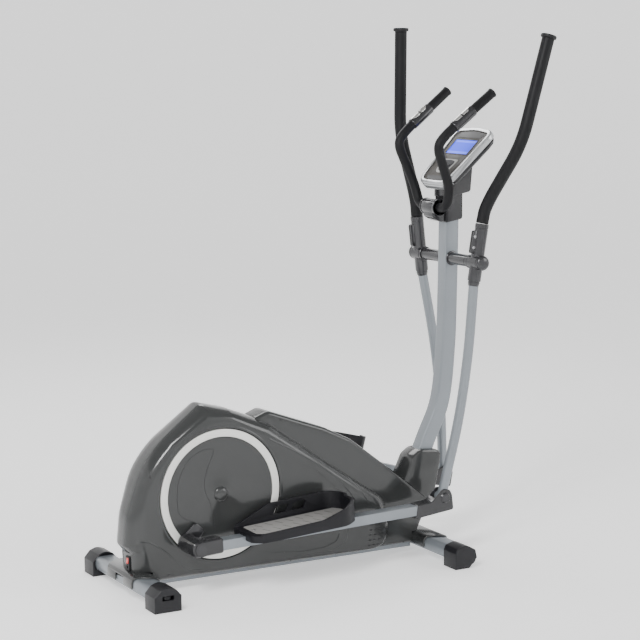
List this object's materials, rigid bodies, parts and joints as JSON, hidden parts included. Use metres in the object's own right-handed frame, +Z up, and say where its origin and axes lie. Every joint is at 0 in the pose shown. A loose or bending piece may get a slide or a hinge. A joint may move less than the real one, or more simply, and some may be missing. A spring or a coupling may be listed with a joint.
{
  "type": "elliptical trainer",
  "caption": "Rear-drive elliptical cross trainer with a faired flywheel, crank discs, pedal arms, swinging handlebars, fixed sensor bars and a console on a curved post.",
  "frame": {"origin": "middle of the footprint on the floor", "axes": "+Z up, +X towards the console end, +Y towards the user's left"},
  "size_m": [1.3604, 0.603, 1.6453],
  "materials": {
    "silver_paint": "satin silver powder coat",
    "housing_gloss": "gloss gunmetal paint on moulded plastic",
    "dark_metallic": "gloss dark metallic paint",
    "dark_gloss": "gloss dark grey moulded plastic",
    "black_plastic": "fine-grained black moulded plastic",
    "foam": "matt black foam sleeve on a steel tube",
    "ring_silver": "satin pale silver",
    "bright_silver": "bright silver paint",
    "chrome_sensor": "polished",
    "steel": "machined",
    "cast_iron": "turned rim",
    "belt_rubber": "ribbed belt",
    "console_grey": "satin warm grey overlay",
    "display": "blue backlit display",
    "key_black": "soft satin",
    "switch_red": "gloss red"
  },
  "bodies": {
    "chassis": {"main_frame": "silver_paint", "rear_stabilizer": "silver_paint", "front_stabilizer": "silver_paint", "post": "silver_paint", "housing_right": "housing_gloss", "housing_left": "housing_gloss", "post_shroud": "housing_gloss", "rear_skirt": "housing_gloss", "front_skirt": "housing_gloss", "arm_axle": "dark_metallic", "handlebar_clamp": "dark_gloss", "console_mount": "dark_gloss", "console_shell": "dark_gloss", "rear_foot_right": "black_plastic", "rear_foot_left": "black_plastic", "front_foot_right": "black_plastic", "front_foot_left": "black_plastic", "tension_motor": "black_plastic", "power_inlet": "black_plastic", "fixed_handlebar": "foam", "console_bezel": "bright_silver", "pulse_sensor_right": "chrome_sensor", "pulse_sensor_left": "chrome_sensor", "crank_bearing_right": "steel", "crank_bearing_left": "steel", "flywheel_axle": "steel", "drive_belt": "belt_rubber", "console_face": "console_grey", "display": "display"},
    "crank_set": {"crank_axle": "steel", "drive_pulley": "black_plastic", "crank_disc_right": "housing_gloss", "crank_disc_left": "housing_gloss", "disc_ring_right": "ring_silver", "disc_ring_left": "ring_silver", "crank_boss_right": "dark_metallic", "crank_boss_left": "dark_metallic"},
    "flywheel_set": {"flywheel": "cast_iron"},
    "idler_wheel": {"idler_pulley": "black_plastic"},
    "magnet_carrier": {"magnet_bracket": "steel"},
    "swing_right": {"swing_arm_right": "dark_metallic", "swing_handle_right": "foam"},
    "swing_left": {"swing_arm_left": "dark_metallic", "swing_handle_left": "foam"},
    "stride_right": {"pedal_arm_right": "silver_paint", "pedal_fork_right": "dark_metallic", "crank_block_right": "dark_gloss", "pedal_right": "black_plastic"},
    "stride_left": {"pedal_arm_left": "silver_paint", "pedal_fork_left": "dark_metallic", "crank_block_left": "dark_gloss", "pedal_left": "black_plastic"},
    "level_wheel_right": {"rear_leveler_right": "black_plastic"},
    "level_wheel_left": {"rear_leveler_left": "black_plastic"},
    "roller_right": {"transport_wheel_right": "black_plastic"},
    "roller_left": {"transport_wheel_left": "black_plastic"},
    "rocker": {"power_switch": "switch_red"},
    "button_up": {"key_up": "key_black"},
    "button_down": {"key_down": "key_black"},
    "button_mode": {"key_mode": "key_black"}
  },
  "joints": [
    {"name": "crank_spin", "type": "hinge", "parent": "chassis", "child": "crank_set", "pos_m": [-0.37531, 0, 0.2747], "axis": [0, 1, 0], "continuous": true},
    {"name": "flywheel_spin", "type": "hinge", "parent": "chassis", "child": "flywheel_set", "pos_m": [-0.01771, 0, 0.19], "axis": [0, 1, 0], "continuous": true},
    {"name": "idler_spin", "type": "hinge", "parent": "chassis", "child": "idler_wheel", "pos_m": [-0.08817, -0.047, 0.27648], "axis": [0, 1, 0], "continuous": true},
    {"name": "magnet_tilt", "type": "hinge", "parent": "chassis", "child": "magnet_carrier", "pos_m": [0.10069, 0, 0.23309], "axis": [0, 1, 0], "range_deg": [0, 6]},
    {"name": "right_swing", "type": "hinge", "parent": "chassis", "child": "swing_right", "pos_m": [0.46879, -0.164, 0.9246], "axis": [0, 1, 0], "range_deg": [-20.7, 4.8]},
    {"name": "left_swing", "type": "hinge", "parent": "chassis", "child": "swing_left", "pos_m": [0.46879, 0.164, 0.9246], "axis": [0, 1, 0], "range_deg": [-4.9, 20.8]},
    {"name": "right_pedal_arm_pivot", "type": "hinge", "parent": "swing_right", "child": "stride_right", "pos_m": [0.34729, -0.156, 0.19697], "axis": [0, 1, 0], "range_deg": [-4.9, 20.8]},
    {"name": "left_pedal_arm_pivot", "type": "hinge", "parent": "swing_left", "child": "stride_left", "pos_m": [0.55171, 0.156, 0.19157], "axis": [0, 1, 0], "range_deg": [-20.8, 4.9]},
    {"name": "right_leveler_turn", "type": "hinge", "parent": "chassis", "child": "level_wheel_right", "pos_m": [-0.63821, -0.245, 0.042], "axis": [0, 0, 1], "range_deg": [-360, 360]},
    {"name": "left_leveler_turn", "type": "hinge", "parent": "chassis", "child": "level_wheel_left", "pos_m": [-0.63821, 0.245, 0.042], "axis": [0, 0, 1], "range_deg": [-360, 360]},
    {"name": "right_roller_spin", "type": "hinge", "parent": "chassis", "child": "roller_right", "pos_m": [0.36729, -0.2795, 0.029], "axis": [0, 1, 0], "continuous": true},
    {"name": "left_roller_spin", "type": "hinge", "parent": "chassis", "child": "roller_left", "pos_m": [0.36729, 0.2795, 0.029], "axis": [0, 1, 0], "continuous": true},
    {"name": "switch_rock", "type": "hinge", "parent": "chassis", "child": "rocker", "pos_m": [-0.65171, -0.0145, 0.096], "axis": [0, -1, 0], "range_deg": [0, 10]},
    {"name": "press_up", "type": "slide", "parent": "chassis", "child": "button_up", "axis": [0.6959, 0, -0.7181], "range_m": [0, 0.0012], "stiffness_N_per_m": 300},
    {"name": "press_down", "type": "slide", "parent": "chassis", "child": "button_down", "axis": [0.6959, 0, -0.7181], "range_m": [0, 0.0012], "stiffness_N_per_m": 300},
    {"name": "press_mode", "type": "slide", "parent": "chassis", "child": "button_mode", "axis": [0.6959, 0, -0.7181], "range_m": [0, 0.0012], "stiffness_N_per_m": 300}
  ],
  "couplings": [
    {"joint": "flywheel_spin", "follows": "crank_spin", "ratio": 7.2222},
    {"joint": "idler_spin", "follows": "crank_spin", "ratio": -8.6667},
    {"joint": "left_swing", "follows": "right_swing", "ratio": -1},
    {"joint": "right_pedal_arm_pivot", "follows": "right_swing", "ratio": -1},
    {"joint": "left_pedal_arm_pivot", "follows": "right_swing", "ratio": 1}
  ]
}
